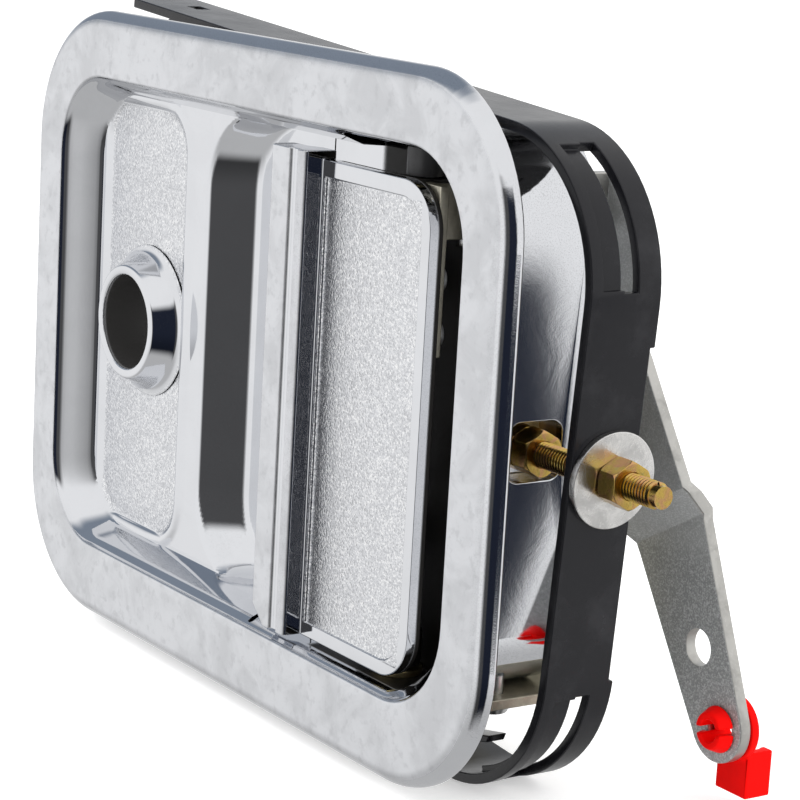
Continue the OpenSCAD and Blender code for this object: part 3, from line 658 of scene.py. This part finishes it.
def threaded_rod(bm, x0, x1, y, z, radius, pitch, tip):
    """Screw thread along X from x0, ending a tip's length short of x1, on a plain core up to x1."""
    steps = 20
    way = 1.0 if x1 > x0 else -1.0
    turns = int(abs(x1 - x0 - tip * way) / pitch)
    root = radius - 0.62 * pitch
    profile = ((0.0, root), (0.38, radius), (0.62, radius), (1.0, root))
    verts = [bm.verts.new((x0 + way * pitch * (t - 1.0), y, z + r)) for t, r in profile]
    edges = [bm.edges.new(pair) for pair in zip(verts, verts[1:])]
    bmesh.ops.spin(bm, geom=verts + edges, cent=(x0, y, z), axis=(1.0, 0.0, 0.0),
                   dvec=(way * pitch / steps, 0.0, 0.0), angle=2 * pi * turns, steps=steps * turns)
    bmesh.ops.remove_doubles(bm, verts=bm.verts, dist=1e-6)
    core_r = root + 0.06 * MM
    core = bmesh.ops.create_cone(bm, cap_ends=True, segments=32, radius1=core_r, radius2=core_r,
                                 depth=abs(x1 - x0))["verts"]
    turn = Matrix.Translation(((x0 + x1) / 2, y, z)) @ Matrix.Rotation(way * pi / 2, 4, "Y")
    bmesh.ops.transform(bm, matrix=turn, verts=core)
    bmesh.ops.recalc_face_normals(bm, faces=bm.faces)


class HANDLE_OT_fasteners(HandleOperator):
    """Side studs with their nuts and washers"""

    bl_idname = "handle.fasteners"
    bl_label = "Studs, nuts and washers"

    def execute(self, context):
        low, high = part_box("ring_studs")
        y, z = (low[1] + high[1]) / 2, (low[2] + high[2]) / 2
        radius = (high[1] - low[1]) / 2
        inner = 57.4 * MM
        bm = bmesh.new()
        threaded_rod(bm, inner, high[0], y, z, radius, sizes().thread_pitch, 0.9 * MM)
        other = bmesh.new()
        threaded_rod(other, -inner - 10 * MM, low[0], y, z, radius, sizes().thread_pitch, 0.9 * MM)
        spare = bpy.data.meshes.new("spare")
        other.to_mesh(spare)
        other.free()
        bm.from_mesh(spare)
        bpy.data.meshes.remove(spare)
        zinc = yellow_zinc("stud_yellow_zinc")
        nut = yellow_zinc("nut_yellow_zinc")
        piece(bm, "side_studs", "housing", [zinc], ["ring_studs"])
        for node in ("stud_jam_nuts", "ring_nuts"):
            piece(rounded_copy(node, 0.12 * MM), node + "_rounded", "housing",
                  [nut], [node])
        piece(rounded_copy("ring_washers", 0.2 * MM), "washers", "housing",
              [sheet_metal("washer_steel", (0.78, 0.77, 0.75), 0.16)], ["ring_washers"])
        return {"FINISHED"}


class HANDLE_OT_bracket(HandleOperator):
    """Rear bracket and its screws"""

    bl_idname = "handle.bracket"
    bl_label = "Rear bracket"

    def execute(self, context):
        piece(rounded_copy("rear_bracket", sizes().edge), "bracket", "housing",
              [sheet_metal("bracket_zinc", colours().zinc, 0.30)], ["rear_bracket"])
        steel = sheet_metal("screw_steel", (0.68, 0.68, 0.67), 0.24)
        rides = (("bracket_screws", "housing"), ("lever_pivot", "housing"), ("drive_rivets", "paddle"))
        for node, body in rides:
            piece(rounded_copy(node, 0.12 * MM), node + "_rounded", body, [steel], [node])
        return {"FINISHED"}


class HANDLE_OT_pin_parts(HandleOperator):
    """Pivot pin, bushes, spacer, clips, spring and bumpers"""

    bl_idname = "handle.pin_parts"
    bl_label = "Pivot pin and its parts"

    def execute(self, context):
        brass = sheet_metal("bush_brass", (0.72, 0.60, 0.32), 0.24)
        dark = sheet_metal("spacer_dark", (0.05, 0.05, 0.052), 0.32, metallic=0.4)
        clip = sheet_metal("clip_steel", (0.22, 0.22, 0.23), 0.3)
        parts = (("pivot_pin", sheet_metal("pin_steel", (0.56, 0.56, 0.57), 0.2), "pin_steel"),
                 ("pin_bushes", brass, "bush_brass"), ("lever_spacer", brass, "bush_brass"),
                 ("pin_spacer", dark, "spacer_dark"), ("pin_clip", clip, "clip_steel"),
                 ("lever_clip", clip, "clip_steel"),
                 ("lever_washer", sheet_metal("washer_plain", (0.7, 0.7, 0.69), 0.2), "washer_steel"),
                 ("paddle_bumpers", rubber("bumper_rubber"), "gasket_rubber"))
        for node, finish, slot in parts:
            piece(rounded_copy(node, 0.15 * MM), node + "_rounded", "housing", [finish], [node])
        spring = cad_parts["paddle_spring"]
        spring.data.materials.clear()
        spring.data.materials.append(sheet_metal("spring_steel", (0.04, 0.04, 0.042), 0.34, metallic=0.5))
        return {"FINISHED"}


class HANDLE_OT_lever(HandleOperator):
    """Release lever, drive arm and red rod clip"""

    bl_idname = "handle.lever"
    bl_label = "Lever and rod clip"

    def execute(self, context):
        bm = rounded_copy("release_lever", sizes().edge)
        for face in bm.faces:
            face.material_index = 0 if abs(face.normal.y) > 0.72 else 1
        piece(bm, "lever", "lever",
              [lever_faces("lever_zinc"), sheet_metal("lever_edges", (0.60, 0.59, 0.56), 0.34)],
              ["release_lever"])
        piece(rounded_copy("drive_arm", sizes().edge), "arm", "paddle",
              [sheet_metal("arm_zinc", colours().zinc, 0.30)], ["drive_arm"])
        piece(rounded_copy("rod_clip", 0.35 * MM, 3), "red_clip", "clip",
              [moulded_red("clip_red")], ["rod_clip"])
        return {"FINISHED"}


def studio_floor(scene):
    """Pale floor under the part; its glow is seen by the camera alone and keeps it white."""
    floor_z = SOLID_BOX[0][2] - 0.4 * MM
    bm = bmesh.new()
    bmesh.ops.create_grid(bm, x_segments=2, y_segments=2, size=6.0,
                          matrix=Matrix.Translation((0.0, 0.0, floor_z)))
    mesh = bpy.data.meshes.new("floor")
    bm.to_mesh(mesh)
    bm.free()
    f = Finish("floor")
    tone = f.mix(f.noise(0.4, 2.0) * 0.5, (0.93, 0.93, 0.93, 1.0), (0.90, 0.90, 0.90, 1.0))
    camera_ray = f.node("ShaderNodeLightPath", out="Is Camera Ray")
    glow = f.mix(camera_ray, (0.0, 0.0, 0.0, 1.0), (0.45, 0.45, 0.45, 1.0))
    mesh.materials.append(f.surface(Base_Color=tone, Roughness=0.8, Emission_Color=glow,
                                    Emission_Strength=1.0))
    floor = bpy.data.objects.new("floor", mesh)
    scene.collection.objects.link(floor)
    floor.visible_glossy = False


def studio_world(scene):
    """White surroundings, with dark panels at the front and right and a grey one high at the left for gloss."""
    world = bpy.data.worlds.new("studio")
    scene.world = world
    w = Finish("studio", world)
    way = w.node("ShaderNodeTexCoord", out="Generated")
    ray = w.node("ShaderNodeLightPath").socket.node
    camera_ray = Value(w, ray.outputs["Is Camera Ray"])
    glossy_ray = Value(w, ray.outputs["Is Glossy Ray"])
    passing_ray = Value(w, ray.outputs["Is Transmission Ray"])
    split = w.node("ShaderNodeSeparateXYZ", sockets={0: way}).socket.node
    x, y, z = (Value(w, s) for s in split.outputs)
    turn = x.math("ARCTAN2", x, 0 - y) * (180 / pi)
    front = turn.above(20, 40) * turn.below(96, 104) * z.above(-0.85, -0.65) * z.below(0.40, 0.62)
    side = turn.above(96, 104) * turn.below(127.9, 128.5)
    side = side * z.above(-0.31, -0.28) * z.below(-0.160, -0.140)
    dark = (front + side) * glossy_ray
    high_left = Vector((-0.76, 0.0, 0.65))
    facing = w.node("ShaderNodeVectorMath", {"operation": "DOT_PRODUCT"}, {0: way, 1: high_left},
                    out="Value")
    grey = facing.above(cos(radians(46)), cos(radians(26))) * glossy_ray
    diffuse = 0.90
    lift = 0.55 + 0.45 * z.above(-0.75, -0.15)
    seen = camera_ray.math("MAXIMUM", camera_ray, passing_ray)
    strength = diffuse + (1 - diffuse) * seen + glossy_ray * (lift - diffuse)
    shadow = w.mix(turn.above(50, 60), (0.082, 0.082, 0.084, 1.0), (0.016, 0.020, 0.034, 1.0))
    tint = w.mix(dark, (1.0, 1.0, 1.0, 1.0), shadow)
    tint = w.mix(grey, tint, (0.24, 0.28, 0.34, 1.0))
    back = w.node("ShaderNodeBackground", sockets={"Color": tint, "Strength": strength})
    w.node("ShaderNodeOutputWorld", sockets={"Surface": back})


def studio_lamps(scene):
    """Two soft lamps that the gloss does not show."""
    for name, at, size, power in LAMPS:
        lamp = bpy.data.lights.new(name, "AREA")
        lamp.size = size
        lamp.energy = power
        obj = bpy.data.objects.new(name, lamp)
        obj.location = at
        obj.rotation_euler = (-Vector(at)).to_track_quat("-Z", "Y").to_euler()
        obj.visible_glossy = False
        scene.collection.objects.link(obj)


def studio_camera(scene):
    """Camera to the right of the handle and a little above it."""
    lens = bpy.data.cameras.new("camera")
    lens.lens = LENS
    lens.sensor_width = SENSOR
    lens.clip_start = 0.01
    camera = bpy.data.objects.new("camera", lens)
    right = Vector(CAMERA_RIGHT).normalized()
    back = Vector(CAMERA_BACK).normalized()
    up = back.cross(right).normalized()
    right = up.cross(back)
    turn = Matrix((right, up, back)).transposed().to_4x4()
    camera.matrix_world = Matrix.Translation(CAMERA_AT) @ turn
    scene.collection.objects.link(camera)
    scene.camera = camera


class HANDLE_OT_stage(HandleOperator):
    """Pale floor, soft studio light and the camera"""

    bl_idname = "handle.stage"
    bl_label = "Studio"

    def execute(self, context):
        scene = context.scene
        scene.view_settings.view_transform = "Standard"
        studio_floor(scene)
        studio_world(scene)
        studio_lamps(scene)
        studio_camera(scene)
        return {"FINISHED"}


STEPS = (HANDLE_OT_stage, HANDLE_OT_bezel, HANDLE_OT_paddle, HANDLE_OT_ring, HANDLE_OT_fasteners,
         HANDLE_OT_bracket, HANDLE_OT_pin_parts, HANDLE_OT_lever)


class HANDLE_PT_panel(bpy.types.Panel):
    """Lists the building steps and their values."""

    bl_idname = "HANDLE_PT_panel"
    bl_label = "Door handle"
    bl_space_type = "VIEW_3D"
    bl_region_type = "UI"
    bl_category = "Door handle"

    def draw(self, context):
        for step in STEPS:
            self.layout.operator(step.bl_idname)
        for group in (context.scene.handle_sizes, context.scene.handle_colours):
            for key in group.__annotations__:
                self.layout.prop(group, key)


CLASSES = (HandleSizes, HandleColours, *STEPS, HANDLE_PT_panel)


def register():
    for cls in CLASSES:
        bpy.utils.register_class(cls)
    bpy.types.Scene.handle_sizes = bpy.props.PointerProperty(type=HandleSizes)
    bpy.types.Scene.handle_colours = bpy.props.PointerProperty(type=HandleColours)


def unregister():
    del bpy.types.Scene.handle_colours
    del bpy.types.Scene.handle_sizes
    for cls in reversed(CLASSES):
        bpy.utils.unregister_class(cls)


def main():
    register()
    for step in STEPS:
        group, name = step.bl_idname.split(".")
        getattr(getattr(bpy.ops, group), name)()


if __name__ == "__main__":
    main()
